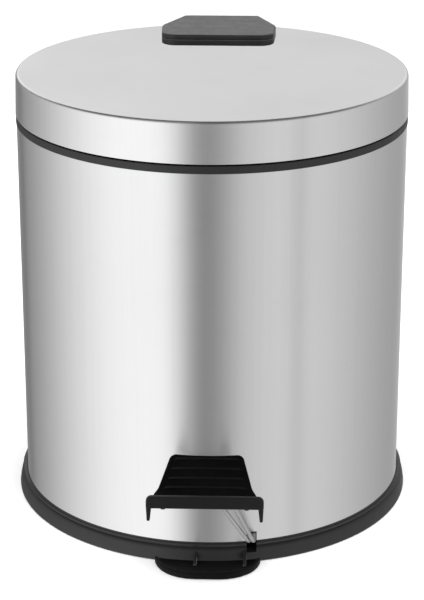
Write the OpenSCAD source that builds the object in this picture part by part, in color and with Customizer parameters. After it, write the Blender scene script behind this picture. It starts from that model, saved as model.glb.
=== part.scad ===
// Round pedal bin: steel body and lid, black mouldings, a foot lever and a push rod.
// Millimetres, +Z up. The pedal is at the front (-Y), the hinge at the back (+Y).

/* [Body] */
// Outside radius of the steel body
body_r = 102; // [80:0.1:130]
// Height of the top edge of the steel body
body_top = 206.5; // [150:0.1:320]
// Height of the bottom edge of the steel body, inside the base ring
body_bottom = 6.6; // [5:0.1:20]
// Thickness of the steel sheet
sheet = 0.5; // [0.3:0.05:1]
// Height of the top of the rim ring
rim_top = 210.6; // [152:0.1:325]
// Height of the ledge that carries the bucket
ledge_z = 204; // [145:0.1:315]
// Inside radius of that ledge
ledge_r = 87; // [70:0.1:115]

/* [Base] */
// Outside radius at the foot of the base ring
base_r = 106.4; // [85:0.1:135]
// Height of the lip of the base ring
base_top = 10.2; // [8:0.1:25]
// Thickness of the floor disc
floor_t = 1.5; // [1:0.1:4]
// Half width of the front tongue
tongue_half = 26.8; // [15:0.1:40]
// Distance from the axis to the front of the tongue
tongue_reach = 123.6; // [108:0.1:140]
// Height of the tongue's rim
tongue_h = 3.4; // [2.8:0.1:10]
// Sideways position of the middle of the tongue
tongue_x = 1.2; // [-5:0.1:5]

/* [Lid] */
// Outside radius of the lid's skirt at its lower edge
lid_r = 102.4; // [82:0.1:132]
// Height of the lid's flat top
lid_top = 232.3; // [170:0.1:345]
// Height of the lower edge of the skirt
skirt_z = 211.4; // [153:0.1:326]
// Radius of the rounded edge
lid_edge = 1.7; // [1:0.1:6]
// Height of each of the two parts of the hinge cover
cover_h = 2.9; // [1.5:0.1:6]

/* [Hinge] */
// Distance of the hinge pin behind the axis
hinge_y = 107.4; // [85:0.1:140]
// Height of the hinge pin
hinge_z = 213; // [150:0.1:330]
// Radius of the hinge pin
pin_r = 2; // [1.5:0.05:4]
// Running clearance of the pins, on the radius
run_c = 0.05; // [0.01:0.01:0.1]
// Distance from the pin to the nose the rod pushes
nose_arm = 9.5; // [7:0.1:15]
// Angle of the nose below the level with the lid shut
nose_angle = 39; // [20:0.5:45]

/* [Pedal] */
// Distance of the lever's axle in front of the axis
axle_front = 32; // [10:0.5:50]
// Height of the axle
axle_z = 14.4; // [10:0.1:25]
// Radius of the lever wire
wire_r = 1.05; // [0.8:0.05:2]
// Sideways position of the slot the wires pass through
slot_x = 23.6; // [0:0.1:40]
// Height of the rear edge of the tread
tread_z = 61.6; // [40:0.1:90]
// Distance of the rear edge of the tread in front of the axis
tread_y = 105.5; // [102:0.1:120]
// Length of the tread down its slope
tread_l = 32.6; // [20:0.1:50]
// Slope of the tread, in degrees
tread_slope = 15.3; // [0:0.1:30]
// Sideways position of the middle of the tread
tread_x = 1; // [-5:0.1:5]
// Width of the front bar
bar_w = 57.8; // [40:0.1:80]

/* [Push rod] */
// Distance of the rod behind the axis
rod_y = 96.4; // [70:0.1:120]
// Radius of the rod
rod_r = 1.5; // [1:0.05:3]
// Gap left between the rod's ends and what they push
push_gap = 0.5; // [0.3:0.05:1]

/* [Bucket] */
// Outside radius at the bottom
bucket_low_r = 79; // [60:0.1:105]
// Outside radius just under the flange
bucket_top_r = 86; // [65:0.1:112]
// Radius of the flange
flange_r = 90; // [70:0.1:116]
// Height of the underside of the bucket
bucket_z = 24; // [20:0.5:50]
// Radius of the bail wire
bail_r = 1.2; // [0.8:0.05:2]

/* [Hidden] */
$fn = 96;
inner_r = body_r - sheet;
neck_r = body_r - 2.3;
floor_r = body_r - 2.6;
screw_r = floor_r - 3.5;
rivet_zs = [188.5, 194.5];
rivet_angle = 9.6;
hy = hinge_y - 106;
lever_z0 = 13.65;
lever_slope = 0.03771;
lever_turn = -108.5;
leg_gap = 1.15;
slot_half = 2.55;
bar_top = 53.2;
bail_z = ledge_z + 4.2;
bail_pin = bail_r - 0.1;
bail_ring = bucket_top_r - 1.7;
flange_z = ledge_z + 0.4;
flange_top = flange_z + 1.6;
nose_z = hinge_z - nose_arm * sin(nose_angle);
cap_top = nose_z - 2.4 - push_gap;
liner_z = 230.2;
cover_pts = [
    [-29, 49.6], [31.5, 49.6], [32.9, 74.6],
    [22.6, 99.4], [-17.8, 99.4], [-29.9, 74.6]
];
cover_rs = [8, 8, 10, 4, 4, 10];

steel = [0.78, 0.78, 0.79];
black = [0.10, 0.10, 0.11];
wire_c = [0.70, 0.70, 0.72];

function lever_z(y) = lever_z0 - lever_slope * (y - lever_turn);
function tread_at(y) = tread_z + (y + tread_y) * tan(tread_slope);
function unit(v) = v / norm(v);
function corner_t(a, p, b, r) = r / tan(acos(unit(a - p) * unit(b - p)) / 2);
function corner_c(a, p, b, r) =
    p + unit(unit(a - p) + unit(b - p)) * r / sin(acos(unit(a - p) * unit(b - p)) / 2);

// A flat polygon with a true arc at each corner.
module round_poly(pts, rs) {
    n = len(pts);
    polygon([
        for (i = [0:n - 1])
        for (k = [0:1])
        let (a = pts[(i + n - 1) % n], p = pts[i], b = pts[(i + 1) % n])
        let (t = corner_t(a, p, b, rs[i]))
        k == 0 ? p + unit(a - p) * t : p + unit(b - p) * t
    ]);
    for (i = [0:n - 1])
        translate(corner_c(pts[(i + n - 1) % n], pts[i], pts[(i + 1) % n], rs[i]))
            circle(r = rs[i]);
}

// A plate drawn in the Y-Z plane, from x0 to x1.
module yz_plate(pts, x0, x1) {
    translate([x0, 0, 0])
        rotate([90, 0, 90])
            linear_extrude(height = x1 - x0)
                polygon(pts);
}

// A round bar along X.
module x_bar(x0, x1, y, z, r) {
    translate([x0, y, z])
        rotate([0, 90, 0])
            cylinder(r = r, h = x1 - x0);
}

// A round bar standing radially, at an angle from the back and a height.
module radial_bar(angle, z, r0, r1, r) {
    rotate([0, 0, angle])
        translate([0, r0, z])
            rotate([-90, 0, 0])
                cylinder(r = r, h = r1 - r0);
}

module slab(x0, x1, y0, y1, z0, z1) {
    translate([x0, y0, z0])
        cube([x1 - x0, y1 - y0, z1 - z0]);
}

module tube(r0, r1, z0, z1) {
    translate([0, 0, z0])
        difference() {
            cylinder(r = r1, h = z1 - z0, $fn = 180);
            translate([0, 0, -1])
                cylinder(r = r0, h = z1 - z0 + 2, $fn = 180);
        }
}

// One straight length of wire with a rounded start.
module wire_run(a, b, r) {
    d = b - a;
    translate(a)
        rotate([0, acos(d[2] / norm(d)), atan2(d[1], d[0])])
            cylinder(r = r, h = norm(d), $fn = 48);
    translate(a)
        sphere(r = r + 0.02, $fn = 48);
}

module wire(pts, r) {
    for (i = [0:len(pts) - 2])
        wire_run(pts[i], pts[i + 1], r);
    translate(pts[len(pts) - 1])
        sphere(r = r + 0.02, $fn = 48);
}

module body_shell() {
    color(steel)
        difference() {
            union() {
                tube(inner_r, body_r, body_bottom, body_top);
                // lap of the seam
                intersection() {
                    tube(inner_r - sheet, inner_r, 13, 197);
                    slab(-46, -34, 80, 103, 13, 197);
                }
            }
            slab(slot_x - slot_half, slot_x + slot_half, -106, -96, 5, 14.8);
            slab(-5, 5, 98, 104, 203.5, 209);
            for (a = [-rivet_angle, rivet_angle])
                for (z = rivet_zs)
                    radial_bar(a, z, 97, 105, 1.5);
        }
}

module rim_ring() {
    color(black)
        difference() {
            rotate_extrude($fn = 180)
                polygon([
                    [neck_r, 198], [inner_r, 198], [inner_r, body_top],
                    [body_r + 0.3, body_top], [body_r + 0.3, rim_top - 0.5],
                    [body_r - 0.2, rim_top], [neck_r, rim_top], [neck_r, ledge_z],
                    [ledge_r, ledge_z], [ledge_r, ledge_z - 2], [neck_r, ledge_z - 2]
                ]);
            translate([0, rod_y, 190])
                cylinder(r = 4.4, h = 16);
            slab(-5, 5, 92, 105, ledge_z, rim_top + 1);
        }
}

module tongue_plan(inset, r) {
    w = tongue_half - inset;
    f = -(tongue_reach - inset);
    translate([tongue_x, 0])
        round_poly([[-w, f], [w, f], [w, -88], [-w, -88]], [r, r, 1, 1]);
}

module base_ring() {
    color(black)
        difference() {
            union() {
                rotate_extrude($fn = 180)
                    polygon([
                        [floor_r - 6, floor_t], [floor_r - 6, 4], [floor_r + 0.2, 4],
                        [floor_r + 0.2, 9], [inner_r, 9], [inner_r, body_bottom],
                        [body_r, body_bottom], [body_r, base_top - 1.2],
                        [body_r + 0.7, base_top], [body_r + 2.1, base_top],
                        [body_r + 2.7, base_top - 0.6], [body_r + 2.7, base_top - 1.8],
                        [body_r + 2.2, base_top - 2.4], [base_r, 1], [base_r - 0.4, 0],
                        [floor_r, 0], [floor_r, floor_t]
                    ]);
                difference() {
                    linear_extrude(height = tongue_h)
                        tongue_plan(0, 15);
                    translate([0, 0, 2.2])
                        linear_extrude(height = tongue_h)
                            tongue_plan(1.7, 13.3);
                    translate([0, 0, -1])
                        cylinder(r = floor_r + 1, h = 20, $fn = 180);
                }
                for (x = [-5.6, slot_x - 3.4])
                    yz_plate([[-103, 2], [-115, 2], [-114, 3.1], [-107, 6.1], [-103, 6.5]],
                        x - 0.8, x + 0.8);
                for (a = [45:90:315])
                    rotate([0, 0, a])
                        translate([0, screw_r, floor_t])
                            cylinder(r = 3.4, h = 7);
            }
            slab(slot_x - slot_half, slot_x + slot_half, -112, -90, 5, 16);
            for (a = [45:90:315])
                rotate([0, 0, a])
                    translate([0, screw_r, 0])
                        cylinder(r = 1.4, h = 7);
        }
}

module base_floor() {
    color(black)
        difference() {
            cylinder(r = floor_r, h = floor_t, $fn = 180);
            for (a = [45:90:315])
                rotate([0, 0, a])
                    translate([0, screw_r, -1])
                        cylinder(r = 3, h = 4);
            for (x = [10, 34])
                translate([x, -axle_front, -1])
                    cylinder(r = 2.6, h = 4);
        }
}

module base_screws() {
    color(wire_c)
        for (a = [45:90:315])
            rotate([0, 0, a])
                translate([0, screw_r, 0]) {
                    translate([0, 0, 0.3])
                        difference() {
                            cylinder(r = 3, h = floor_t - 0.3);
                            slab(-2, 2, -0.4, 0.4, -1, 0.5);
                            slab(-0.4, 0.4, -2, 2, -1, 0.5);
                        }
                    translate([0, 0, floor_t])
                        cylinder(r = 1.4, h = 5.5);
                }
}

module axle_saddles() {
    color(black)
        for (x = [8, 32])
            difference() {
                union() {
                    slab(x, x + 4, -axle_front - 5, -axle_front + 5, floor_t, axle_z);
                    x_bar(x, x + 4, -axle_front, axle_z, 5);
                }
                x_bar(x - 1, x + 5, -axle_front, axle_z, pin_r);
                translate([x + 2, -axle_front, 0])
                    cylinder(r = 1.3, h = 8);
            }
}

module saddle_screws() {
    color(wire_c)
        for (x = [10, 34])
            translate([x, -axle_front, 0]) {
                translate([0, 0, 0.3])
                    difference() {
                        cylinder(r = 2.6, h = floor_t - 0.3);
                        slab(-1.8, 1.8, -0.4, 0.4, -1, 0.5);
                        slab(-0.4, 0.4, -1.8, 1.8, -1, 0.5);
                    }
                translate([0, 0, floor_t])
                    cylinder(r = 1.3, h = 6.5);
            }
}

module pedal_axle() {
    color(wire_c)
        x_bar(7, 37, -axle_front, axle_z, pin_r);
}

module hinge_bracket() {
    color(black)
        difference() {
            union() {
                intersection() {
                    tube(body_r, body_r + 1.6, 183, 202.5);
                    slab(-21, 21, 80, 112, 183, 202.5);
                }
                for (x = [-13, 9.3]) {
                    translate([0, hy, 0])
                        yz_plate([[101.2, 188], [103, 186], [110, 211], [102.2, 214.8],
                            [101.6, 205]], x, x + 3.7);
                    x_bar(x, x + 3.7, hinge_y, hinge_z, 4.5);
                }
            }
            x_bar(-20, 20, hinge_y, hinge_z, pin_r);
            for (a = [-rivet_angle, rivet_angle])
                for (z = rivet_zs)
                    radial_bar(a, z, 97, 107, 1.5);
        }
}

module bracket_rivets() {
    color(wire_c)
        for (a = [-rivet_angle, rivet_angle])
            for (z = rivet_zs) {
                radial_bar(a, z, inner_r - 0.2, body_r + 1.9, 1.5);
                radial_bar(a, z, body_r + 1.7, body_r + 2.7, 2.4);
                radial_bar(a, z, inner_r - 1.1, inner_r - 0.1, 2.3);
            }
}

module hinge_pin() {
    color(wire_c) {
        x_bar(-13.8, 13.8, hinge_y, hinge_z, pin_r);
        x_bar(-14.6, -13.8, hinge_y, hinge_z, 3);
        x_bar(13.8, 14.6, hinge_y, hinge_z, 3);
    }
}

module rod_guide() {
    color(black)
        difference() {
            intersection() {
                slab(-5, 5, 92.9, 104, 118, 127);
                translate([0, 0, 100])
                    cylinder(r = inner_r, h = 40, $fn = 180);
            }
            translate([0, rod_y, 110])
                cylinder(r = rod_r + run_c, h = 30);
        }
}

module lid_plan(drop) {
    e = lid_edge - drop;
    top = lid_top - drop;
    c = [lid_r - 0.5 - lid_edge, lid_top - lid_edge];
    polygon([
        [0, skirt_z - drop], [lid_r - drop, skirt_z - drop],
        [c[0] + e, c[1]], [c[0], top], [0, top]
    ]);
    translate(c)
        circle(r = e);
}

module lid_shell() {
    color(steel)
        difference() {
            rotate_extrude($fn = 180)
                difference() {
                    intersection() {
                        lid_plan(0);
                        square([lid_r + 5, lid_top + 5]);
                    }
                    lid_plan(sheet);
                    translate([-10, 0])
                        square([10, lid_top + 5]);
                }
            slab(-14.5, 14.5, 90, 106, 209, 218);
            for (x = [-15, 15])
                translate([x, 70, 220])
                    cylinder(r = 1.6, h = 20);
        }
}

module lid_liner() {
    color(black)
        difference() {
            rotate_extrude($fn = 180)
                polygon([
                    [97, 211.7], [lid_r - 0.7, 211.7], [lid_r - 1.2, 229.4],
                    [lid_r - 3.6, 231.8], [0, 231.8], [0, liner_z],
                    [lid_r - 3.4, liner_z], [lid_r - 2.6, 229.2],
                    [lid_r - 2.3, 213.2], [97, 213.2]
                ]);
            slab(-14.5, 14.5, 90, 106, 210, 218.4);
            for (x = [-15, 15])
                translate([x, 70, 220])
                    cylinder(r = 1.6, h = 20);
        }
}

module hinge_arm() {
    color(black)
        difference() {
            union() {
                translate([0, 0, liner_z - 3])
                    linear_extrude(height = 3)
                        round_poly([[-22, 58], [22, 58], [22, 94], [-22, 94]],
                            [4, 4, 4, 4]);
                for (x = [-8.7, 4.5])
                    yz_plate([
                        [106 + hy, 217.6], [99.6, 217.6], [98.2, 219.5], [97.4, liner_z],
                        [84, liner_z], [86, 226], [94 + hy, 214], [101 + hy, 211.2],
                        [106 + hy, 208.4]
                    ], x, x + 4.2);
                x_bar(-8.7, 8.7, hinge_y, hinge_z, 4.6);
                translate([-4.6, hinge_y, hinge_z])
                    rotate([nose_angle, 0, 0])
                        translate([0, -nose_arm, -1.6])
                            cube([9.2, nose_arm, 3.2]);
                x_bar(-4.6, 4.6, hinge_y - nose_arm * cos(nose_angle), nose_z, 2.4);
            }
            x_bar(-20, 20, hinge_y, hinge_z, pin_r + run_c);
            for (x = [-15, 15])
                translate([x, 70, 220])
                    cylinder(r = 1.6, h = 20);
        }
}

module hinge_cover_base() {
    color(black)
        difference() {
            translate([0, 0, lid_top])
                linear_extrude(height = cover_h)
                    round_poly(cover_pts, cover_rs);
            for (x = [-15, 15])
                translate([x, 70, 220])
                    cylinder(r = 1.6, h = 20);
        }
}

module hinge_cover_cap() {
    color(black)
        difference() {
            union() {
                translate([0, 0, lid_top + cover_h])
                    linear_extrude(height = 0.4)
                        translate([0, 75.4])
                            scale([0.985, 0.985])
                                translate([0, -75.4])
                                    round_poly(cover_pts, cover_rs);
                translate([0, 0, lid_top + cover_h + 0.4])
                    linear_extrude(height = cover_h - 0.4)
                        round_poly(cover_pts, cover_rs);
            }
            // bevel along the rear edge
            translate([-40, 99.4, lid_top + 2 * cover_h - 1.6])
                rotate([45, 0, 0])
                    translate([0, -1, 0])
                        cube([80, 6, 6]);
            for (x = [-15, 15])
                translate([x, 70, 220])
                    cylinder(r = 1.6, h = 16.2);
        }
}

module cover_screws() {
    color(wire_c)
        for (x = [-15, 15])
            translate([x, 70, 0]) {
                translate([0, 0, liner_z - 5])
                    cylinder(r = 3, h = 2);
                translate([0, 0, liner_z - 3])
                    cylinder(r = 1.6, h = 9);
            }
}

module lid_bumpers() {
    color(black)
        for (a = [60, 180, 300])
            rotate([0, 0, a])
                translate([0, body_r - 1.95, 211.05])
                    cylinder(r = 1.7, h = 0.65);
}

module pedal_tread() {
    near = -tread_y - tread_l * cos(tread_slope);
    far_w = 18;
    near_w = 25.5;
    color(black)
        translate([tread_x, 0, 0])
            union() {
                translate([0, -tread_y, tread_z])
                    rotate([tread_slope, 0, 0]) {
                        difference() {
                            translate([0, 0, -4.2])
                                linear_extrude(height = 4.2)
                                    polygon([
                                        [-near_w, -tread_l - 0.6],
                                        [near_w, -tread_l - 0.6],
                                        [far_w + 0.85, -3.6], [far_w + 0.1, -1.3],
                                        [far_w - 2.6, 0], [2.6 - far_w, 0],
                                        [-far_w - 0.1, -1.3], [-far_w - 0.85, -3.6]
                                    ]);
                            // hollow of the tread
                            translate([0, 5, 159.5])
                                rotate([90, 0, 0])
                                    cylinder(r = 161, h = tread_l + 10, $fn = 360);
                        }
                        // cross ribs
                        for (f = [0.15, 0.37, 0.59, 0.8])
                            intersection() {
                                translate([0, -f * tread_l + 0.6, 159.5])
                                    rotate([90, 0, 0])
                                        difference() {
                                            cylinder(r = 161.4, h = 1.2, $fn = 360);
                                            translate([0, 0, -1])
                                                cylinder(r = 160.3, h = 4, $fn = 360);
                                        }
                                slab(-15.2 - 7 * f, 15.2 + 7 * f, -40, 5, -5, 5);
                            }
                    }
                // front bar
                translate([0, near + 0.3, 0])
                    rotate([90, 0, 0])
                        linear_extrude(height = 2.8)
                            round_poly([
                                [-bar_w / 2, 46.9], [bar_w / 2, 46.9],
                                [bar_w / 2, bar_top], [-bar_w / 2, bar_top]
                            ], [0.6, 0.6, 2.8, 2.8]);
                for (x = [-bar_w / 2, bar_w / 2 - 2.4])
                    slab(x, x + 2.4, near - 2.3, near + 1.2, 39.8, 48.8);
            }
}

module pedal_lever() {
    low = tread_at(-130) - 5.6;
    high = tread_at(-109) - 5.6;
    out = slot_x - leg_gap;
    back = slot_x + leg_gap;
    color(wire_c)
        difference() {
            union() {
                wire([
                    [-leg_gap, 97.2, lever_z(97.2)], [-leg_gap, 88, lever_z(88)],
                    [out, -axle_front, lever_z(-axle_front)],
                    [out, lever_turn, lever_z(lever_turn)],
                    [5.4, -130, low], [-17, -130, low],
                    [-17, -109, high], [13.1, -109, high], [13.1, -130, low],
                    [back, lever_turn, lever_z(lever_turn)],
                    [back, -axle_front, lever_z(-axle_front)],
                    [leg_gap, 88, lever_z(88)], [leg_gap, 97.2, lever_z(97.2)]
                ], wire_r);
                x_bar(12.4, 31.6, -axle_front, axle_z, 3.6);
            }
            x_bar(10, 34, -axle_front, axle_z, pin_r + run_c);
        }
}

module wire_clips() {
    color(black)
        for (x = [-17, 13.1])
            difference() {
                translate([x, -tread_y, tread_z])
                    rotate([tread_slope, 0, 0])
                        slab(-3, 3, -17, -11, -7.2, -4.2);
                wire_run([x, -130, tread_at(-130) - 5.6], [x, -109, tread_at(-109) - 5.6], wire_r);
            }
}

module push_rod() {
    color(wire_c)
        translate([0, rod_y, 10])
            cylinder(r = rod_r, h = cap_top - 13);
}

module rod_cap() {
    color(black)
        translate([0, rod_y, 0])
            difference() {
                union() {
                    translate([0, 0, cap_top - 9])
                        cylinder(r = 3.9, h = 8.6);
                    translate([0, 0, cap_top - 0.4])
                        cylinder(r1 = 3.9, r2 = 3.7, h = 0.4);
                }
                translate([0, 0, cap_top - 10])
                    cylinder(r = rod_r, h = 7);
            }
}

module rod_foot() {
    z = lever_z(rod_y) + wire_r + push_gap;
    color(black)
        translate([0, rod_y, 0])
            difference() {
                union() {
                    translate([0, 0, z])
                        cylinder(r1 = 1.6, r2 = 2.4, h = 1.4);
                    translate([0, 0, z + 1.4])
                        cylinder(r = 2.4, h = 9);
                }
                translate([0, 0, 10])
                    cylinder(r = rod_r, h = 20);
            }
}

module inner_bucket() {
    color(black)
        difference() {
            union() {
                rotate_extrude($fn = 180)
                    polygon([
                        [0, bucket_z], [bucket_low_r, bucket_z], [bucket_top_r, flange_z],
                        [flange_r, flange_z], [flange_r, flange_top],
                        [bucket_top_r - 1.5, flange_top],
                        [bucket_low_r - 1.5, bucket_z + 1.5], [0, bucket_z + 1.5]
                    ]);
                for (s = [-1, 1])
                    translate([s * 87.4 - 1.1, -3.5, flange_top])
                        cube([2.2, 7, 4.4]);
            }
            x_bar(-95, 95, 0, bail_z, bail_pin + run_c);
        }
}

module bail_wire() {
    color(wire_c) {
        difference() {
            translate([0, 0, bail_z])
                rotate_extrude($fn = 180)
                    translate([bail_ring, 0])
                        circle(r = bail_r, $fn = 48);
            slab(-100, 100, 0.7, 100, bail_z - 5, bail_z + 5);
        }
        x_bar(-89.4, 0.4 - bail_ring, 0, bail_z, bail_pin);
        x_bar(bail_ring - 0.4, 89.4, 0, bail_z, bail_pin);
    }
}

body_shell();
rim_ring();
base_ring();
base_floor();
base_screws();
axle_saddles();
saddle_screws();
pedal_axle();
hinge_bracket();
bracket_rivets();
hinge_pin();
rod_guide();
lid_shell();
lid_liner();
hinge_arm();
hinge_cover_base();
hinge_cover_cap();
cover_screws();
lid_bumpers();
pedal_tread();
pedal_lever();
wire_clips();
push_rod();
rod_cap();
rod_foot();
inner_bucket();
bail_wire();
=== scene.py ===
import math

import bmesh
import bpy
from mathutils import Matrix, Vector


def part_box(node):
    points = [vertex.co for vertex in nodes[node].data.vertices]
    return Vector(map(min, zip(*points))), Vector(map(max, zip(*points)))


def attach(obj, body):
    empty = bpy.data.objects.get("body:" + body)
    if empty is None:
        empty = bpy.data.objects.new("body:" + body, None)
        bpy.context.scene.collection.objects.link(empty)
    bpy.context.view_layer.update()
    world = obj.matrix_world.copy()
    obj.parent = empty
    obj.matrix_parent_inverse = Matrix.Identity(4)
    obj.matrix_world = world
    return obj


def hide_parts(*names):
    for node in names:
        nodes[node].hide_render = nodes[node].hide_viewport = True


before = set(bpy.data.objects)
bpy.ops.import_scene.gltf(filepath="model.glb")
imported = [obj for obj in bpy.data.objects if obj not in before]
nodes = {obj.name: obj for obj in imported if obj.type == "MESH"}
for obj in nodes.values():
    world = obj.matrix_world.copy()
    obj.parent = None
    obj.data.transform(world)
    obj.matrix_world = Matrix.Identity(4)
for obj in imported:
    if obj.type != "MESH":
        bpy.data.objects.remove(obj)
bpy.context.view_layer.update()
MM = 0.001
TAU = math.tau

# ---------------------------------------------------------------- sizes, in millimetres


def top_of(node):
    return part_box(node)[1].z / MM


def low_of(node):
    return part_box(node)[0].z / MM


def reach_of(node):
    low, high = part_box(node)
    return (high.x - low.x) / 2 / MM


BODY_R = reach_of("body_shell")
BODY_LOW = low_of("body_shell")
BODY_TOP = top_of("body_shell")
SHEET = 0.5  # thickness of the steel
RIM_TOP = top_of("rim_ring")
BASE_R = reach_of("base_ring")
BASE_TOP = top_of("base_ring")
TONGUE_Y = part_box("base_ring")[0].y / MM
LID_R = reach_of("lid_shell")
LID_TOP = top_of("lid_shell")
SKIRT_Z = low_of("lid_shell")
LID_EDGE = 1.7  # rounding of the lid's top edge
NECK_R = BODY_R - 2.3  # inside of the rim ring
FLOOR_R = BODY_R - 2.6  # inside of the base ring
COVER_LOW = low_of("hinge_cover_base")
COVER_MID = low_of("hinge_cover_cap")
COVER_TOP = top_of("hinge_cover_cap")
# the slot that the lever's wires pass through, right of the middle
SLOT_X = 23.6
SLOT_HALF = 2.55
SLOT_TOP = 14.8
# half widths of the openings at the back, for the hinge arm
BODY_NOTCH = 5.0
LID_NOTCH = 14.5
BODY_NOTCH_Z = 203.5
LID_NOTCH_Z = 218.0
# the tray at the front of the base ring
TONGUE_HALF = 27.2
TONGUE_X = 1.2
TONGUE_REAR = -99.6
TONGUE_H = 3.4
TONGUE_WALL = 1.7
TONGUE_FLOOR = 2.2
# the tread: middle, rear edge, its height, its length down the slope
TREAD_X, TREAD_Y, TREAD_Z, TREAD_L = 1.0, -105.5, 61.6, 32.6
TREAD_THICK = 4.2
SLOPE = math.radians(15.3)
# each rib's place, as a share of the tread's length
RIBS = (0.19, 0.42, 0.645, 0.855)
BAR_HALF = 28.9
BAR_LOW, BAR_TOP = 46.9, 53.2
LEG_LOW = 40.0
# the lever: its axle, its bend behind the pedal and its rear end
AXLE_Y, AXLE_Z = -32.0, 14.4
LEVER_TURN = -108.5
LEVER_END = 97.2
LEVER_R = 1.05
LEG_GAP = 1.15
# the camera, in metres and degrees
CAMERA_TURN = 1.9
CAMERA_BACK = 1.0594
CAMERA_UP = 0.5035
CAMERA_PITCH = 20.67
LENS = 125.5

# ---------------------------------------------------------------- mesh helpers


def new_object(name, bm, smooth=35.0):
    """A mesh object from a bmesh in millimetres, smooth except across edges sharper than the angle."""
    bmesh.ops.recalc_face_normals(bm, faces=bm.faces[:])
    mesh = bpy.data.meshes.new(name)
    bm.to_mesh(mesh)
    bm.free()
    mesh.transform(Matrix.Scale(MM, 4))
    obj = bpy.data.objects.new(name, mesh)
    bpy.context.scene.collection.objects.link(obj)
    mesh.shade_smooth()
    mesh.set_sharp_from_angle(angle=math.radians(smooth))
    return obj


def apply_modifiers(obj):
    """Turns an object's modifiers into its mesh."""
    deps = bpy.context.evaluated_depsgraph_get()
    mesh = bpy.data.meshes.new_from_object(obj.evaluated_get(deps))
    obj.modifiers.clear()
    obj.data = mesh
    return obj


def thicken(obj, offset, smooth):
    """Gives a surface the thickness of the steel sheet."""
    solid = obj.modifiers.new("thickness", "SOLIDIFY")
    solid.thickness = SHEET * MM
    solid.offset = offset
    apply_modifiers(obj)
    obj.data.set_sharp_from_angle(angle=math.radians(smooth))


def keep_out_of_reflections(*names):
    """The photograph's steel shows no image of the black pieces in front of it."""
    for name in names:
        bpy.data.objects[name].visible_glossy = False


def finish_piece(obj, body, slot, material, *replaced):
    obj.data.materials.clear()
    obj.data.materials.append(material)
    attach(obj, body)
    if replaced:
        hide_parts(*replaced)
    return obj


def arc(cx, cy, r, a0, a1, n):
    """Points on an arc, angles in degrees."""
    return [
        (cx + r * math.cos(math.radians(a0 + (a1 - a0) * i / n)),
         cy + r * math.sin(math.radians(a0 + (a1 - a0) * i / n)))
        for i in range(n + 1)
    ]


def refine(line, step):
    """The same line with no stretch longer than step."""
    out = [line[0]]
    for a, b in zip(line, line[1:]):
        n = max(1, math.ceil(math.dist(a, b) / step))
        out += [(a[0] + (b[0] - a[0]) * i / n, a[1] + (b[1] - a[1]) * i / n)
                for i in range(1, n + 1)]
    return out


def insert_level(profile, level):
    """The profile with a point where it crosses the level."""
    out = []
    for a, b in zip(profile, profile[1:]):
        out.append(a)
        if (a[1] - level) * (b[1] - level) < 0:
            t = (level - a[1]) / (b[1] - a[1])
            out.append((a[0] + (b[0] - a[0]) * t, level))
    return out + [profile[-1]]


def lathe(bm, profile, segments=288, closed=True, extra=(), skip=None):
    """Turns a profile of (radius, z) about the vertical axis.

    extra holds angles that get a column of their own; skip(angle, r, z) drops a face.
    An angle of 0 is the front, -Y, and the right-hand side, +X, is 90."""
    angles = sorted(set([round(360 * i / segments, 4) for i in range(segments)]
                        + [round(a % 360, 4) for a in extra]))
    rings = []
    for r, z in profile:
        if r < 1e-6:
            rings.append([bm.verts.new((0, 0, z))])
            continue
        rings.append([bm.verts.new((r * math.sin(math.radians(a)),
                                    -r * math.cos(math.radians(a)), z)) for a in angles])
    pairs = list(zip(rings, rings[1:])) + ([(rings[-1], rings[0])] if closed else [])
    points = list(zip(profile, profile[1:])) + ([(profile[-1], profile[0])] if closed else [])
    n = len(angles)
    for (ra, rb), (pa, pb) in zip(pairs, points):
        if len(ra) == 1 and len(rb) == 1:
            continue
        for i in range(n):
            j = (i + 1) % n
            turn = angles[j] - angles[i] + (360 if j == 0 else 0)
            middle = (angles[i] + turn / 2) % 360
            if skip and skip(middle, (pa[0] + pb[0]) / 2, (pa[1] + pb[1]) / 2):
                continue
            if len(ra) == 1:
                bm.faces.new((ra[0], rb[j], rb[i]))
            elif len(rb) == 1:
                bm.faces.new((ra[i], ra[j], rb[0]))
            else:
                bm.faces.new((ra[i], ra[j], rb[j], rb[i]))
    loose = [v for v in bm.verts if not v.link_faces]
    bmesh.ops.delete(bm, geom=loose, context="VERTS")


def corner_angle(half_width, radius):
    return math.degrees(math.asin(half_width / radius))


def rounded_corners(points, radii):
    """For each corner of a convex outline: its arc's centre, start angle, sweep and radius."""
    found = []
    n = len(points)
    for i in range(n):
        a, p, b = (Vector(points[(i + k) % n]) for k in (-1, 0, 1))
        u, w = (a - p).normalized(), (b - p).normalized()
        half = math.acos(max(-1, min(1, u.dot(w)))) / 2
        centre = p + (u + w).normalized() * radii[i] / math.sin(half)
        t = radii[i] / math.tan(half)
        start = p + u * t - centre
        end = p + w * t - centre
        a0 = math.atan2(start.y, start.x)
        sweep = (math.atan2(end.y, end.x) - a0 + math.pi) % TAU - math.pi
        found.append((centre, a0, sweep, radii[i]))
    return found


def outline(corners, inset=0.0, steps=8):
    """Points round the outline, moved inwards by inset."""
    out = []
    for centre, a0, sweep, r in corners:
        for k in range(steps + 1):
            a = a0 + sweep * k / steps
            out.append((centre.x + (r - inset) * math.cos(a),
                        centre.y + (r - inset) * math.sin(a)))
    return out


def loft(bm, rings, cap_start=True, cap_end=True):
    """Joins closed loops of 3-D points, all of one length."""
    made = [[bm.verts.new(p) for p in ring] for ring in rings]
    n = len(made[0])
    for a, b in zip(made, made[1:]):
        for i in range(n):
            j = (i + 1) % n
            bm.faces.new((a[i], a[j], b[j], b[i]))
    if cap_start:
        bm.faces.new(made[0][::-1])
    if cap_end:
        bm.faces.new(made[-1])


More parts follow.
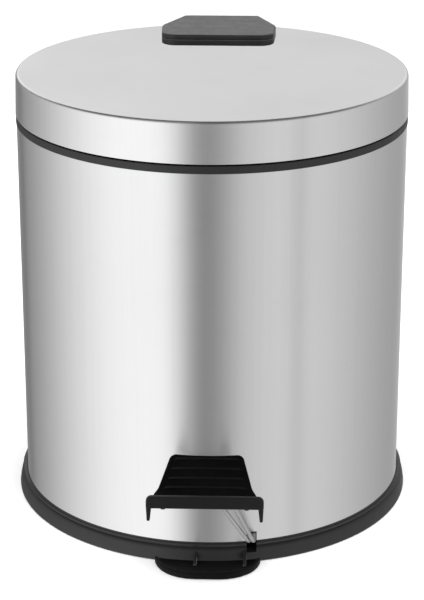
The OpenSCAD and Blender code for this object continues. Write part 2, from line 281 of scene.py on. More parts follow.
def plate(bm, corners, z0, z1, r_low, r_high, place=lambda x, y, z: (x, y, z), n=4):
    """A plate with an outline and rounded lower and upper edges."""
    rings = []
    for k in range(n + 1):
        a = math.radians(90 * k / n)
        rings.append([place(x, y, z0 + r_low * (1 - math.cos(a)))
                      for x, y in outline(corners, r_low * (1 - math.sin(a)))])
    for k in range(n + 1):
        a = math.radians(90 * k / n)
        rings.append([place(x, y, z1 - r_high * (1 - math.sin(a)))
                      for x, y in outline(corners, r_high * (1 - math.cos(a)))])
    loft(bm, rings)


def box(bm, x0, x1, y0, y1, z0, z1, r=0.5):
    """A block whose upright and level edges are rounded."""
    corners = rounded_corners([(x0, y0), (x1, y0), (x1, y1), (x0, y1)], [r * 1.2] * 4)
    plate(bm, corners, z0, z1, r, r)


def fillet(points, radius, steps=7):
    """A path with each inner corner rounded."""
    pts = [Vector(p) for p in points]
    out = [pts[0]]
    for a, p, b in zip(pts, pts[1:], pts[2:]):
        u, w = (a - p), (b - p)
        cut = min(radius, u.length * 0.45, w.length * 0.45)
        s, e = p + u.normalized() * cut, p + w.normalized() * cut
        for k in range(steps + 1):
            t = k / steps
            out.append(s * (1 - t) ** 2 + p * (2 * t * (1 - t)) + e * t ** 2)
    out.append(pts[-1])
    return out


def sweep_wire(bm, path, r, n=20, dome=True):
    """A round wire along a path, with domed ends."""
    path = [Vector(p) for p in path]
    tangents = []
    for i in range(len(path)):
        a, b = path[max(0, i - 1)], path[min(len(path) - 1, i + 1)]
        tangents.append((b - a).normalized())
    side = tangents[0].orthogonal().normalized()
    rings = []

    def ring(p, t, s, radius):
        other = t.cross(s)
        return [p + s * (radius * math.cos(TAU * k / n)) + other * (radius * math.sin(TAU * k / n))
                for k in range(n)]

    for i, (p, t) in enumerate(zip(path, tangents)):
        side = (side - t * side.dot(t)).normalized()
        if i == 0 and dome:
            for k in (1, 2, 3):
                a = math.radians(22.5 * k)
                rings.append(ring(p - t * r * 0.8 * math.cos(a), t, side, r * math.sin(a)))
        rings.append(ring(p, t, side, r))
        if i == len(path) - 1 and dome:
            for k in (3, 2, 1):
                a = math.radians(22.5 * k)
                rings.append(ring(p + t * r * 0.8 * math.cos(a), t, side, r * math.sin(a)))
    loft(bm, rings)


# ---------------------------------------------------------------- materials


class Graph:
    """Small helper for building a node tree round its shader."""

    def __init__(self, tree, shader_type):
        self.tree = tree
        self.shader = next(n for n in tree.nodes if n.type == shader_type)

    def add(self, kind, **settings):
        node = self.tree.nodes.new(kind)
        for key, value in settings.items():
            setattr(node, key, value)
        return node

    def link(self, out, into):
        self.tree.links.new(out, into)

    def math(self, op, a, b=None, clamp=False):
        node = self.add("ShaderNodeMath", operation=op, use_clamp=clamp)
        for socket, value in zip(node.inputs, (a, b)):
            if value is None:
                continue
            if isinstance(value, (int, float)):
                socket.default_value = value
            else:
                self.link(value, socket)
        return node.outputs[0]

    def remap(self, value, a, b, c, d, smooth=False):
        node = self.add("ShaderNodeMapRange",
                        interpolation_type="SMOOTHSTEP" if smooth else "LINEAR")
        self.link(value, node.inputs["Value"])
        for key, number in zip(("From Min", "From Max", "To Min", "To Max"), (a, b, c, d)):
            node.inputs[key].default_value = number
        return node.outputs["Result"]

    def noise(self, vector, scale, detail=2.0, rough=0.5):
        node = self.add("ShaderNodeTexNoise")
        self.link(vector, node.inputs["Vector"])
        node.inputs["Scale"].default_value = scale
        node.inputs["Detail"].default_value = detail
        node.inputs["Roughness"].default_value = rough
        return node.outputs["Fac"]

    def mix_color(self, factor, a, b):
        node = self.add("ShaderNodeMix", data_type="RGBA")
        if isinstance(factor, (int, float)):
            node.inputs[0].default_value = factor
        else:
            self.link(factor, node.inputs[0])
        for socket, value in ((node.inputs[6], a), (node.inputs[7], b)):
            if isinstance(value, (tuple, list)):
                socket.default_value = (*value, 1.0)
            else:
                self.link(value, socket)
        return node.outputs[2]

    def bump(self, height, strength, distance):
        node = self.add("ShaderNodeBump")
        node.inputs["Strength"].default_value = strength
        node.inputs["Distance"].default_value = distance
        self.link(height, node.inputs["Height"])
        self.link(node.outputs["Normal"], self.shader.inputs["Normal"])

    def set(self, **values):
        for key, value in values.items():
            self.shader.inputs[key.replace("_", " ")].default_value = value


def material_graph(name):
    """A new material, its graph, and the place on the object as a vector."""
    material = bpy.data.materials.new(name)
    material.use_nodes = True
    g = Graph(material.node_tree, "BSDF_PRINCIPLED")
    return material, g, g.add("ShaderNodeTexCoord").outputs["Object"]


def split_xyz(g, vector):
    node = g.add("ShaderNodeSeparateXYZ")
    g.link(vector, node.inputs[0])
    return node.outputs


def combine(g, x, y, z):
    node = g.add("ShaderNodeCombineXYZ")
    for socket, value in zip(node.inputs, (x, y, z)):
        if isinstance(value, (int, float)):
            socket.default_value = value
        else:
            g.link(value, socket)
    return node.outputs[0]


def brushed_steel(name, tint, roughness, anisotropy=None):
    """Stainless sheet with fine hairlines: round the body, or straight across a flat top.

    Only a round surface is given an anisotropy."""
    material, g, position = material_graph(name)
    x, y, z = split_xyz(g, position)
    round_body = anisotropy is not None
    if round_body:
        turn = g.math("ARCTAN2", x, y)
        along = g.math("MULTIPLY", turn, 0.1)
        fine = combine(g, g.math("MULTIPLY", along, 40), 0.0, g.math("MULTIPLY", z, 5200))
        coarse = combine(g, g.math("MULTIPLY", along, 14), 3.0, g.math("MULTIPLY", z, 2100))
    else:
        fine = combine(g, g.math("MULTIPLY", x, 40), g.math("MULTIPLY", y, 5200), 0.0)
        coarse = combine(g, g.math("MULTIPLY", x, 14), g.math("MULTIPLY", y, 2100), 3.0)
    lines = g.noise(fine, 1.0, 3.0, 0.6)
    bands = g.noise(coarse, 1.0, 2.0, 0.5)
    cloud = g.noise(position, 14.0, 3.0, 0.55)
    smudge = g.noise(position, 55.0, 4.0, 0.65)
    grain = g.math("ADD", g.math("MULTIPLY", lines, 0.75), g.math("MULTIPLY", bands, 0.25))
    dark = tuple(c * 0.975 for c in tint)
    bright = tuple(min(1.0, c * 1.02) for c in tint)
    color = g.mix_color(g.remap(grain, 0.3, 0.7, 0.0, 1.0), dark, bright)
    if round_body:
        # faint upright streaks
        upright = g.noise(combine(g, g.math("MULTIPLY", along, 420), 7.0,
                                  g.math("MULTIPLY", z, 2.5)), 1.0, 3.0, 0.6)
        color = g.mix_color(g.remap(upright, 0.5, 0.75, 0.0, 0.16), color,
                            tuple(c * 0.8 for c in tint))
    stain = g.remap(smudge, 0.58, 0.8, 0.0, 0.10)
    g.link(g.mix_color(stain, color, tuple(c * 0.8 for c in tint)), g.shader.inputs["Base Color"])
    rough = g.math("ADD", g.remap(grain, 0.3, 0.7, roughness - 0.02, roughness + 0.02),
                   g.remap(cloud, 0.35, 0.7, -0.01, 0.02))
    g.link(rough, g.shader.inputs["Roughness"])
    g.bump(grain, 0.022, 0.00003)
    g.set(Metallic=1.0)
    if round_body:
        tangent = g.add("ShaderNodeTangent", direction_type="RADIAL", axis="Z")
        g.link(tangent.outputs[0], g.shader.inputs["Tangent"])
        g.set(Anisotropic=anisotropy, Anisotropic_Rotation=0.25)
    return material


def moulded(name, color, roughness, grain=1.0, dust=0.35, shine=0.5):
    """Black moulded plastic: fine spark-eroded grain, faint dust and handling marks."""
    material, g, position = material_graph(name)
    fine = g.noise(position, 2600.0, 2.0, 0.6)
    skin = g.noise(position, 700.0, 3.0, 0.6)
    cloud = g.noise(position, 38.0, 4.0, 0.6)
    marks = g.noise(position, 160.0, 5.0, 0.7)
    lighter = tuple(min(1.0, c * 1.8 + 0.001) for c in color)
    base = g.mix_color(g.remap(cloud, 0.35, 0.7, 0.0, 0.5), color, lighter)
    facing = split_xyz(g, g.add("ShaderNodeNewGeometry").outputs["Normal"])
    upward = g.remap(facing[2], 0.5, 1.0, 0.0, dust, smooth=True)
    dusty = g.math("MULTIPLY", upward, g.remap(marks, 0.4, 0.75, 0.02, 0.3))
    g.link(g.mix_color(dusty, base, (0.09, 0.088, 0.084)), g.shader.inputs["Base Color"])
    rough = g.math("ADD", g.remap(marks, 0.3, 0.75, roughness - 0.05, roughness + 0.07),
                   g.remap(fine, 0.3, 0.7, -0.02, 0.02))
    g.link(rough, g.shader.inputs["Roughness"])
    height = g.math("ADD", g.math("MULTIPLY", fine, 0.5), g.math("MULTIPLY", skin, 0.5))
    g.bump(height, 0.18 * grain, 0.00012)
    g.set(Specular_IOR_Level=shine)
    return material


def drawn_wire(name, tint, roughness, edge=1.0):
    """Bright drawn wire with fine pitting and a little tarnish."""
    material, g, position = material_graph(name)
    tarnish = g.noise(position, 90.0, 4.0, 0.6)
    pits = g.noise(position, 1500.0, 2.0, 0.6)
    g.link(g.mix_color(g.remap(tarnish, 0.45, 0.75, 0.0, 0.5), tint,
                       tuple(c * 0.72 for c in tint)), g.shader.inputs["Base Color"])
    g.link(g.remap(tarnish, 0.3, 0.7, roughness - 0.04, roughness + 0.08),
           g.shader.inputs["Roughness"])
    g.bump(pits, 0.06, 0.00005)
    g.set(Metallic=1.0, Specular_Tint=(edge, edge, edge, 1.0))
    return material


MAT_BODY = brushed_steel("steel_body", (0.72, 0.72, 0.722), 0.30, anisotropy=0.80)
MAT_SKIRT = brushed_steel("steel_skirt", (0.74, 0.74, 0.742), 0.30, anisotropy=0.6)
MAT_LIDTOP = brushed_steel("steel_lid_top", (0.74, 0.74, 0.745), 0.34)
MAT_BLACK = moulded("black_moulding", (0.007, 0.007, 0.0072), 0.45, shine=0.35)
MAT_BASE = moulded("base_moulding", (0.004, 0.004, 0.0043), 0.40, dust=0.12, shine=0.55)
# a darker copy of the base ring's moulding for the tray: painted shade
MAT_TONGUE_PAINTED_SHADE = moulded("tongue_painted_shade", (0.0025, 0.0025, 0.0027), 0.45, dust=0.07, shine=0.1)
MAT_RIM = moulded("rim_moulding", (0.004, 0.0041, 0.0044), 0.45, dust=0.12, shine=0.55)
MAT_COVER = moulded("cover_moulding", (0.008, 0.008, 0.0082), 0.36, grain=0.8, dust=0.08,
                    shine=0.45)
MAT_TREAD = moulded("tread_moulding", (0.005, 0.005, 0.0053), 0.40, dust=0.05, shine=0.2)
# a darker copy of the pedal's moulding for the tread's upward face: painted shade
MAT_TREAD_TOP_PAINTED_SHADE = moulded("tread_top_painted_shade", (0.0012, 0.0012, 0.0013), 0.40, grain=1.2,
                        dust=0.02, shine=0.03)
MAT_BUCKET = moulded("bucket_moulding", (0.012, 0.0125, 0.013), 0.45, dust=0.2, shine=0.35)
MAT_WIRE = drawn_wire("bright_wire", (0.62, 0.62, 0.625), 0.5, edge=0.1)
MAT_ZINC = drawn_wire("zinc_fixing", (0.62, 0.63, 0.65), 0.34)
MAT_RUBBER = moulded("bumper_rubber", (0.006, 0.006, 0.006), 0.7, shine=0.25)

# ---------------------------------------------------------------- body


SLOT_ANGLES = (corner_angle(SLOT_X - SLOT_HALF, BODY_R), corner_angle(SLOT_X + SLOT_HALF, BODY_R))


def body_shell():
    bm = bmesh.new()
    middle = BODY_R - SHEET / 2
    slot_a, slot_b = SLOT_ANGLES
    notch = corner_angle(BODY_NOTCH, BODY_R)
    levels = [BODY_LOW, 9, 12, SLOT_TOP] + [20 + 6 * i for i in range(30)]
    levels += [197, BODY_NOTCH_Z, BODY_TOP - 0.3, BODY_TOP]
    profile = [(middle, z) for z in sorted(levels)]

    def skip(angle, r, z):
        in_slot = slot_a < angle < slot_b and z < SLOT_TOP
        in_notch = abs(angle - 180) < notch and z > BODY_NOTCH_Z
        return in_slot or in_notch

    lathe(bm, profile, closed=False, extra=(slot_a, slot_b, 180 - notch, 180 + notch), skip=skip)
    obj = new_object("steel_body", bm)
    thicken(obj, 0.0, 35)
    finish_piece(obj, "bin", "steel", MAT_BODY, "body_shell")
    # lap of the seam inside, at the back
    bm = bmesh.new()
    inner = BODY_R - SHEET
    a0 = 180 + corner_angle(34, inner)
    a1 = 180 + corner_angle(46, inner)
    outer_line = arc(0, 0, inner, a0 - 90, a1 - 90, 12)
    inner_line = arc(0, 0, inner - SHEET, a1 - 90, a0 - 90, 12)
    ring = outer_line + inner_line
    loft(bm, [[(x, y, z) for x, y in ring] for z in (13, 60, 110, 160, 197)])
    seam = new_object("body_seam_lap", bm)
    finish_piece(seam, "bin", "steel", MAT_BODY)


def rim_ring():
    lip = BODY_R + 0.3
    profile = (
        [(NECK_R, 198), (BODY_R - SHEET, 198), (BODY_R - SHEET, BODY_TOP), (lip - 0.3, BODY_TOP)]
        + [(lip, BODY_TOP + 0.3)]
        + arc(lip - 0.7, RIM_TOP - 0.7, 0.7, 0, 90, 5)
        + arc(NECK_R + 0.6, RIM_TOP - 0.6, 0.6, 90, 180, 4)
        + [(NECK_R, 204.6)] + arc(NECK_R - 0.6, 204.6, 0.6, 0, -90, 3)[1:]
        + arc(87.5, 203.5, 0.5, 90, 180, 4) + arc(87.5, 202.5, 0.5, 180, 270, 4)
        + [(NECK_R, 202)]
    )
    notch = corner_angle(BODY_NOTCH, BODY_R - 1)
    bm = bmesh.new()

    def skip(angle, r, z):
        return abs(angle - 180) < notch and (z > 203.9 or (r > 90.5 and z > 197))

    lathe(bm, profile, extra=(180 - notch, 180 + notch), skip=skip)
    edges = [e for e in bm.edges if e.is_boundary]
    bmesh.ops.holes_fill(bm, edges=edges, sides=0)
    obj = new_object("rim_ring_moulded", bm)
    finish_piece(obj, "bin", "dark_moulding", MAT_RIM, "rim_ring")


def base_ring():
    bm = bmesh.new()
    inner = BODY_R - SHEET
    profile = (
        [(FLOOR_R - 6, 1.5), (FLOOR_R - 6, 3.6), (FLOOR_R - 5.6, 4), (FLOOR_R + 0.2, 4),
         (FLOOR_R + 0.2, 8.8), (FLOOR_R + 0.4, 9), (inner, 9), (inner, BODY_LOW),
         (BODY_R, BODY_LOW), (BODY_R, BASE_TOP - 1.2)]
        + arc(BODY_R + 0.8, BASE_TOP - 0.8, 0.8, 180, 90, 5)
        + arc(BODY_R + 1.9, BASE_TOP - 0.8, 0.8, 90, -20, 6)
        + [(BODY_R + 2.1, BASE_TOP - 1.5), (BODY_R + 1.7, BASE_TOP - 1.9),
           (BODY_R + 1.7, BASE_TOP - 2.2), (BODY_R + 2.3, BASE_TOP - 2.6),
           (BODY_R + 2.9, BASE_TOP - 3.2), (BODY_R + 3.35, 6.1), (BODY_R + 3.7, 4.9),
           (BODY_R + 4.0, 3.4), (BASE_R - 0.15, 1.8)]
        + arc(BASE_R - 0.6, 0.6, 0.6, 10, -90, 4) + [(FLOOR_R, 0), (FLOOR_R, 1.5)]
    )
    lathe(bm, profile, extra=SLOT_ANGLES)
    obj = new_object("base_ring_moulded", bm)
    # the slot for the lever wires
    cut = bmesh.new()
    box(cut, SLOT_X - SLOT_HALF, SLOT_X + SLOT_HALF, -112, -90, 5, 16, 0.3)
    cutter = new_object("slot_cutter", cut)
    knife = obj.modifiers.new("slot", "BOOLEAN")
    knife.operation = "DIFFERENCE"
    knife.solver = "EXACT"
    knife.object = cutter
    apply_modifiers(obj)
    bpy.data.objects.remove(cutter)
    obj.data.set_sharp_from_angle(angle=math.radians(35))
    finish_piece(obj, "bin", "black_moulding", MAT_BASE, "base_ring")


def smooth_step(t):
    t = max(0.0, min(1.0, t))
    return t * t * (3 - 2 * t)


def tongue():
    """The flat foot at the front of the base ring: a shallow tray with a rounded rim."""
    height, wall, low = TONGUE_H, TONGUE_WALL, TONGUE_FLOOR
    left, right = TONGUE_X - TONGUE_HALF, TONGUE_X + TONGUE_HALF
    corners = rounded_corners(
        [(left, TONGUE_Y), (right, TONGUE_Y), (right, TONGUE_REAR), (left, TONGUE_REAR)],
        [21, 21, 0.4, 0.4])
    rings = []
    for inset, z in ((0.5, 0.0), (0.12, 0.15), (0.0, 0.5), (0.0, height - 0.6),
                     (0.1, height - 0.3), (0.35, height - 0.08), (0.7, height),
                     (1.1, height), (1.45, height - 0.12), (wall, height - 0.4),
                     (wall + 0.1, low + 0.4), (wall + 0.3, low + 0.15), (wall + 0.7, low)):
        # the rim runs down to the foot of the base ring at its two ends
        rings.append([(x, y, z * (1 - 0.5 * smooth_step((y + 108.0) / 5.5)))
                      for x, y in outline(corners, inset)])
    bm = bmesh.new()
    loft(bm, rings)
    obj = new_object("base_tongue", bm, 50)
    # the tray takes the darker copy of the base moulding, which is painted shade
    finish_piece(obj, "bin", "black_moulding", MAT_TONGUE_PAINTED_SHADE)
    # two gussets between the tray and the ring, thinner at their edges
    bm = bmesh.new()
    for x in (-5.0, SLOT_X - 3.4):
        side = [(-103, 1.4), (-113, 2.1), (-112.7, 3.0), (-110.2, 4.2), (-106.8, 6.1), (-103, 6.5)]
        loft(bm, [[(x + dx, y * s + (1 - s) * -108, z * s + (1 - s) * 2.6) for y, z in side]
                  for dx, s in ((-0.8, 0.97), (-0.6, 1.0), (0.6, 1.0), (0.8, 0.97))])
    ribs = new_object("base_gussets", bm)
    finish_piece(ribs, "bin", "black_moulding", MAT_BASE)


# ---------------------------------------------------------------- lid


def lid_shell():
    shoulder = LID_R - 0.5
    edge_z = LID_TOP - LID_EDGE
    profile = [(0.0, LID_TOP), (6.0, LID_TOP)]
    profile += [(12.0 + 8.0 * i, LID_TOP) for i in range(11)] + [(96.5, LID_TOP)]
    profile += arc(shoulder - LID_EDGE, edge_z, LID_EDGE, 90, 2, 10)
    profile += refine([(shoulder + 0.02, edge_z - 0.5), (LID_R, SKIRT_Z)], 3.0)
    profile = insert_level(profile, LID_NOTCH_Z)
    notch = corner_angle(LID_NOTCH, LID_R)
    bm = bmesh.new()

    def skip(angle, r, z):
        return abs(angle - 180) < notch and z < LID_NOTCH_Z

    lathe(bm, profile, closed=False, extra=(180 - notch, 180 + notch), skip=skip)
    obj = new_object("lid_steel", bm, 50)
    thicken(obj, -1.0, 50)
    finish_piece(obj, "lid", "lid_steel", MAT_LIDTOP, "lid_shell")
    # the skirt and the rounded edge are brushed round the lid
    obj.data.materials.append(MAT_SKIRT)
    limit = (shoulder - LID_EDGE - 0.05) * MM
    for face in obj.data.polygons:
        if math.hypot(face.center.x, face.center.y) > limit:
            face.material_index = 1


def lid_liner():
    notch = corner_angle(LID_NOTCH, LID_R - 1)
    edge = LID_R - 3.6
    profile = (
        arc(97.5, 212.2, 0.5, 180, 270, 3) + arc(LID_R - 1.2, 212.1, 0.4, -90, 0, 3)
        + [(LID_R - 1.1, 218.4), (LID_R - 1.3, 229.4)] + arc(edge, 229.4, 2.35, 5, 85, 5)
        + [(60, 231.8), (0, 231.8), (0, 230.2), (60, 230.2)]
        + arc(edge - 0.6, 228.8, 1.4, 90, 0, 5)
        + [(LID_R - 2.6, 218.4), (LID_R - 2.5, 213.2), (97.0, 213.2)]
    )
    bm = bmesh.new()

    def skip(angle, r, z):
        return abs(angle - 180) < notch and z < 218.4 and r > 96

    lathe(bm, profile, extra=(180 - notch, 180 + notch), skip=skip)
    bmesh.ops.holes_fill(bm, edges=[e for e in bm.edges if e.is_boundary], sides=0)
    # strengthening rings inside the lid
    for radius in (30.0, 55.0, 80.0):

        def at_arm(angle, r, z, radius=radius):
            # the rings stop at the foot of the hinge arm
            a = math.radians(angle)
            return -radius * math.cos(a) > 54 and abs(radius * math.sin(a)) < 25

        lathe(bm, [(radius - 0.7, 230.3), (radius - 0.6, 228.6), (radius - 0.3, 228.3),
                   (radius + 0.3, 228.3), (radius + 0.6, 228.6), (radius + 0.7, 230.3)],
              segments=192, skip=at_arm)
    obj = new_object("lid_liner_moulded", bm)
    finish_piece(obj, "lid", "dark_moulding", MAT_RIM, "lid_liner")


def hinge_cover():
    """The two stacked mouldings on the lid, in front of the hinge."""
    points = [(-29, 49.6), (31.5, 49.6), (32.9, 74.6), (22.6, 99.4), (-17.8, 99.4),
              (-29.9, 74.6)]
    corners = rounded_corners(points, [8, 8, 10, 4, 4, 10])
    bm = bmesh.new()
    plate(bm, corners, COVER_LOW, COVER_MID, 0.25, 0.45)
    low = new_object("hinge_cover_lower", bm)
    finish_piece(low, "lid", "cover_moulding", MAT_COVER, "hinge_cover_base")
    bm = bmesh.new()
    rings = []
    for inset, z in ((0.9, COVER_MID - 0.02), (0.5, COVER_MID + 0.05), (0.12, COVER_MID + 0.2),
                     (0.0, COVER_MID + 0.5), (0.0, COVER_TOP - 1.0), (0.1, COVER_TOP - 0.6),
                     (0.35, COVER_TOP - 0.28), (0.8, COVER_TOP - 0.08), (1.3, COVER_TOP),
                     (2.2, COVER_TOP)):
        ring = []
        for x, y in outline(corners, inset):
            # the rear edge slopes away
            drop = max(0.0, (y - 97.4)) * 0.75 if z > COVER_MID + 1 else 0.0
            ring.append((x, y, z - drop))
        rings.append(ring)
    loft(bm, rings)
    high = new_object("hinge_cover_upper", bm, 40)
    finish_piece(high, "lid", "cover_moulding", MAT_COVER, "hinge_cover_cap")


# ---------------------------------------------------------------- pedal


def on_tread(x, s, h):
    """A point s down the slope from the rear edge, h above the tread's edge plane."""
    return (TREAD_X + x, TREAD_Y - s * math.cos(SLOPE) - h * math.sin(SLOPE),
            TREAD_Z - s * math.sin(SLOPE) + h * math.cos(SLOPE))


def half_width(s):
    """Half the tread's width, with its rounded rear corners and its flare at the bar."""
    corner = 3.4
    cut = corner - math.sqrt(max(0.0, corner ** 2 - max(0.0, corner - s) ** 2))
    flare = 1.3 * smooth_step((s / TREAD_L - 0.78) / 0.22)
    return 18.0 + 6.2 * s / TREAD_L + flare - cut


def tread_height(x, s):
    """The dished top surface with its four bowed cross ribs."""
    dish = min(-1.5 + x * x / (2 * 161), 0.0)
    width = half_width(s)
    bow = 2.2 * (1 - min(1.0, (x / 22.0) ** 2))
    lift = 0.0
    for f in RIBS:
        d = s - (f * TREAD_L - bow)
        across = width - 2.6 - abs(x)
        if across > 0:
            # each rib rises gently from the rear and drops steeply to the front
            shape = smooth_step(1 + d / 2.6) if d < 0 else smooth_step(1 - d / 0.7)
            lift = max(lift, 0.55 * shape * min(1.0, across / 1.5))
    edge = min(width - abs(x), s)
    roll = 0.5 * (1 - math.sqrt(max(0.0, 1 - max(0.0, 1 - edge / 0.6) ** 2)))
    return dish + lift - roll


def pedal_tread():
    """The ribbed plate, and the bar with its two legs along its front."""
    bm = bmesh.new()
    across, down = 64, 150
    top, low = [], []
    length = TREAD_L + 0.5
    for j in range(down + 1):
        s = length * (j / down) ** 1.15
        w = half_width(s)
        row_t, row_l = [], []
        for i in range(across + 1):
            u = 2 * i / across - 1
            u = math.copysign(1 - (1 - abs(u)) ** 1.25, u)
            x = w * u
            row_t.append(bm.verts.new(on_tread(x, s, tread_height(x, s))))
            row_l.append(bm.verts.new(on_tread(x * 0.995, s, -TREAD_THICK)))
        top.append(row_t)
        low.append(row_l)
    for j in range(down):
        for i in range(across):
            bm.faces.new((top[j][i], top[j][i + 1], top[j + 1][i + 1], top[j + 1][i]))
            bm.faces.new((low[j][i], low[j + 1][i], low[j + 1][i + 1], low[j][i + 1]))
        for i in (0, across):
            bm.faces.new((top[j][i], top[j + 1][i], low[j + 1][i], low[j][i]))
    for j in (0, down):
        for i in range(across):
            bm.faces.new((top[j][i], top[j][i + 1], low[j][i + 1], low[j][i]))
    obj = new_object("tread_plate", bm, 42)
    # the tread's top takes the darker copy of the pedal moulding, which is painted shade
    finish_piece(obj, "pedal", "tread_moulding", MAT_TREAD_TOP_PAINTED_SHADE, "pedal_tread")
    near = TREAD_Y - TREAD_L * math.cos(SLOPE)
    bm = bmesh.new()
    left, right = TREAD_X - BAR_HALF, TREAD_X + BAR_HALF
    corners = rounded_corners(
        [(left, BAR_LOW), (right, BAR_LOW), (right, BAR_TOP), (left, BAR_TOP)],
        [0.8, 0.8, 2.8, 2.8])
    plate(bm, corners, -near - 0.3, -near + 2.5, 0.3, 0.7, place=lambda x, z, y: (x, -y, z))
    for side in (-1, 1):
        # a leg that narrows towards its foot
        edge = TREAD_X + side * BAR_HALF
        foot = sorted((edge - side * 0.4, edge - side * 1.9))
        head = sorted((edge, edge - side * 2.9))
        corners = rounded_corners(
            [(foot[0], LEG_LOW), (foot[1], LEG_LOW), (head[1], 49), (head[0], 49)],
            [0.65, 0.65, 0.3, 0.3])
        plate(bm, corners, -near - 1.2, -near + 2.25, 0.3, 0.5,
              place=lambda x, z, y: (x, -y, z))
        # small pegs under the bar
        peg = TREAD_X + side * 20.5
        box(bm, peg - 1.1, peg + 1.1, near - 1.4, near + 8, 46.0, 50, 0.35)
    bar = new_object("tread_front_bar", bm)
    finish_piece(bar, "pedal", "tread_moulding", MAT_TREAD)


def lever_z(y):
    """Height of the lever's two wires, which drop a little towards the back."""
    return 13.65 - 0.03771 * (y - LEVER_TURN)


def under_tread(y):
    """Height of the wire loop under the tread."""
    return TREAD_Z + (y - TREAD_Y) * math.tan(SLOPE) - 5.6


def pedal_lever():
    low, high = under_tread(-130), under_tread(-109)
    a, b = SLOT_X - LEG_GAP, SLOT_X + LEG_GAP

    def on_lever(x, y):
        return (x, y, lever_z(y))

    path = [on_lever(-LEG_GAP, LEVER_END), on_lever(-LEG_GAP, 88),
            on_lever(a, AXLE_Y), on_lever(a, LEVER_TURN),
            (5.4, -130, low), (-17, -130, low), (-17, -109, high), (13.1, -109, high),
            (13.1, -130, low), on_lever(b, LEVER_TURN), on_lever(b, AXLE_Y),
            on_lever(LEG_GAP, 88), on_lever(LEG_GAP, LEVER_END)]
    bm = bmesh.new()
    sweep_wire(bm, fillet(path, 3.2), LEVER_R, 24)
    obj = new_object("lever_wire", bm)
    finish_piece(obj, "pedal", "wire", MAT_WIRE, "pedal_lever")
    # the sleeve on the axle, turned upright and then laid across the bin
    bm = bmesh.new()
    lathe(bm, [(2.06, -9.6), (3.3, -9.6), (3.6, -9.3), (3.6, 9.3), (3.3, 9.6), (2.06, 9.6)],
          segments=64)
    for v in bm.verts:
        x, y, z = v.co
        v.co = (z + 22.0, x + AXLE_Y, y + AXLE_Z)
    sleeve = new_object("lever_sleeve", bm)
    finish_piece(sleeve, "pedal", "wire", MAT_WIRE)


# ---------------------------------------------------------------- bucket


def inner_bucket():
    profile = (
        [(0, 24), (40, 24)] + arc(76.6, 26.4, 2.4, -90, -3, 6)
        + refine([(79.1, 27.5), (86, 204.2)], 20)
        + [(86.2, 204.4), (89.5, 204.4)] + arc(89.5, 205.2, 0.75, -80, 90, 6)
        + arc(85.6, 205.0, 1.1, 90, 180, 5)
        + refine([(84.4, 203.5), (77.6, 28)], 20) + arc(75.8, 27.4, 1.9, 0, -90, 5)
        + [(40, 25.5), (0, 25.5)]
    )
    bm = bmesh.new()
    lathe(bm, profile, segments=224)
    for s in (-1, 1):
        box(bm, s * 87.4 - 1.1, s * 87.4 + 1.1, -3.5, 3.5, 205.6, 210.4, 0.4)
    # low rings in the bucket's floor
    for r in (24.0, 52.0):
        lathe(bm, [(r - 0.9, 25.3), (r - 0.6, 26.0), (r + 0.6, 26.0), (r + 0.9, 25.3)],
              segments=128)
    obj = new_object("bucket_moulded", bm)
    finish_piece(obj, "bucket", "bucket_moulding", MAT_BUCKET, "inner_bucket")


def bail():
    ring = 84.3
    z = 208.2
    path = [(-89.4, 0, z), (-86.0, 0, z)]
    path += [(ring * math.cos(math.radians(a)), ring * math.sin(math.radians(a)), z)
             for a in range(182, 359, 2)]
    path += [(86.0, 0, z), (89.4, 0, z)]
    bm = bmesh.new()
    sweep_wire(bm, path, 1.15, 20)
    obj = new_object("bail_ring", bm, 60)
    finish_piece(obj, "bail", "wire", MAT_WIRE, "bail_wire")


# ---------------------------------------------------------------- carried-over CAD nodes


CARRIED = {
    "base_floor": MAT_BLACK, "base_screws": MAT_ZINC, "axle_saddles": MAT_BLACK,
    "saddle_screws": MAT_ZINC, "pedal_axle": MAT_WIRE, "hinge_bracket": MAT_BLACK,
    "bracket_rivets": MAT_ZINC, "hinge_pin": MAT_WIRE, "rod_guide": MAT_BLACK,
    "hinge_arm": MAT_BLACK, "cover_screws": MAT_ZINC, "lid_bumpers": MAT_RUBBER,
    "wire_clips": MAT_BLACK, "push_rod": MAT_WIRE, "rod_cap": MAT_BLACK,
    "rod_foot": MAT_BLACK,
}


SOFTENED = ("hinge_bracket", "hinge_arm", "axle_saddles", "rod_cap", "hinge_pin",
            "bracket_rivets", "rod_guide", "wire_clips")


def carry_over():
    """Materials for the CAD pieces that are shown as they are, some with softened edges."""
    for name, material in CARRIED.items():
        obj = nodes[name]
        obj.data.materials.clear()
        obj.data.materials.append(material)
        if name in SOFTENED:
            bevel = obj.modifiers.new("soft_edges", "BEVEL")
            bevel.width = 0.0003
            bevel.segments = 2
            bevel.limit_method = "ANGLE"
            bevel.angle_limit = math.radians(40)


# ---------------------------------------------------------------- studio


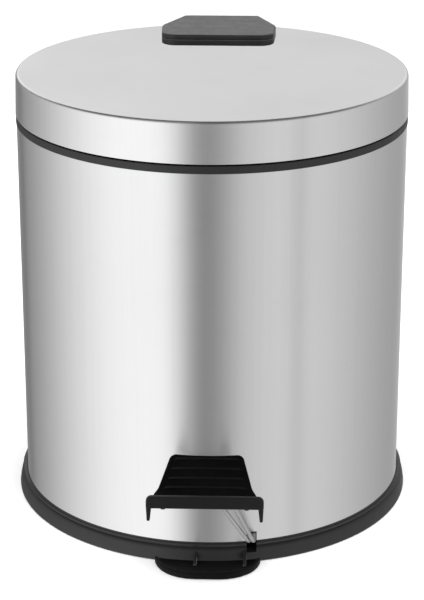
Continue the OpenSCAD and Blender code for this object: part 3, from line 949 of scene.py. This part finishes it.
def world_light():
    """A studio of soft panels round the object, given by their direction about the vertical axis.

    Angles are in degrees. turn grows to the right of the camera, and left grows the other way."""
    world = bpy.data.worlds.new("studio")
    bpy.context.scene.world = world
    world.use_nodes = True
    g = Graph(world.node_tree, "BACKGROUND")
    x, y, z = split_xyz(g, g.add("ShaderNodeTexCoord").outputs["Generated"])

    def ramp(value, a, b, c, d):
        return g.remap(value, a, b, c, d, smooth=True)

    def times(*values):
        product = values[0]
        for value in values[1:]:
            product = g.math("MULTIPLY", product, value)
        return product

    front = times(y, -1.0)
    turn = g.math("SUBTRACT", times(g.math("ARCTAN2", x, front), math.degrees(1.0)), CAMERA_TURN)
    left = times(turn, -1.0)
    size = g.math("ABSOLUTE", turn)
    # the bright panel on the left, and the softer one on the right with a seam in it
    key = times(ramp(left, 5.0, 30.0, 0.0, 1.05), ramp(left, 46.0, 150.0, 1.0, 0.07))
    seam = times(ramp(turn, 47.5, 51.5, 0.0, 0.6), ramp(turn, 51.5, 57.0, 1.0, 0.0))
    fill = times(ramp(turn, -7.0, 26.0, 0.0, 0.86), ramp(turn, 22.0, 44.0, 1.0, 1.16),
                 ramp(turn, 42.0, 152.0, 0.62, 0.17), g.math("SUBTRACT", 1.0, seam))
    sides = times(g.math("ADD", key, fill), ramp(size, 156.0, 178.0, 1.0, 0.5))
    # the backdrop shows only in faces that look up: the lid's top and the plastic on it
    behind = times(ramp(size, 140.0, 162.0, 0.0, 1.0), ramp(z, 0.08, 0.22, 0.0, 1.0),
                   ramp(z, 0.5, 0.68, 1.0, 0.0), ramp(x, -0.22, 0.22, 0.91, 0.62))
    # a low light behind on the right, along the body's edge
    rim_light = times(ramp(turn, 150.0, 170.0, 0.0, 0.4), ramp(z, -0.1, 0.08, 1.0, 0.0))
    # a narrow black flag behind on the left
    flag = times(ramp(left, 144.0, 149.0, 0.0, 0.8), ramp(left, 150.0, 157.0, 1.0, 0.0))
    total = g.math("ADD", sides, g.math("ADD", behind, g.math("ADD", rim_light, 0.27)))
    total = times(total, g.math("SUBTRACT", 1.0, flag), ramp(z, 0.45, 0.75, 1.0, 0.25))
    g.link(total, g.shader.inputs["Strength"])
    g.set(Color=(1.0, 1.0, 1.0, 1.0))


def panel(name, place, target, size, power):
    light = bpy.data.lights.new(name, "AREA")
    light.shape = "RECTANGLE"
    light.size, light.size_y = size
    light.energy = power
    obj = bpy.data.objects.new(name, light)
    obj.location = place
    obj.rotation_euler = (Vector(target) - Vector(place)).to_track_quat("-Z", "Y").to_euler()
    bpy.context.scene.collection.objects.link(obj)
    return obj


def floor():
    """A wide pale disc just below the bin."""
    bm = bmesh.new()
    lathe(bm, [(0.0, 0.0), (400, 0), (1200, 0), (3000, 0), (9000, 0)], segments=96, closed=False)
    obj = new_object("floor", bm)
    material, g, position = material_graph("pale_floor")
    cloud = g.noise(position, 3.0, 2.0, 0.5)
    g.link(g.mix_color(g.remap(cloud, 0.3, 0.7, 0.0, 1.0), (0.86, 0.86, 0.86),
                       (0.90, 0.90, 0.90)), g.shader.inputs["Base Color"])
    g.set(Roughness=0.9, Specular_IOR_Level=0.0)
    obj.data.materials.append(material)
    obj.location.z = -0.0002
    obj.visible_glossy = False


def camera():
    data = bpy.data.cameras.new("view")
    data.lens = LENS
    data.sensor_width = 36.0
    data.clip_end = 50.0
    obj = bpy.data.objects.new("view", data)
    turn = math.radians(CAMERA_TURN)
    obj.location = (CAMERA_BACK * math.sin(turn), -CAMERA_BACK * math.cos(turn), CAMERA_UP)
    obj.rotation_euler = (math.radians(90 - CAMERA_PITCH), 0.0, turn)
    bpy.context.scene.collection.objects.link(obj)
    bpy.context.scene.camera = obj


body_shell()
rim_ring()
base_ring()
tongue()
lid_shell()
lid_liner()
hinge_cover()
pedal_tread()
pedal_lever()
inner_bucket()
bail()
carry_over()
keep_out_of_reflections("base_ring_moulded", "base_tongue", "tread_plate", "tread_front_bar",
                        "hinge_cover_lower", "hinge_cover_upper")
world_light()
panel("top_panel", (0.1, -0.3, 1.6), (0, 0, 0.1), (2.4, 2.4), 66).visible_glossy = False
floor()
camera()
bpy.context.scene.view_settings.view_transform = "Standard"

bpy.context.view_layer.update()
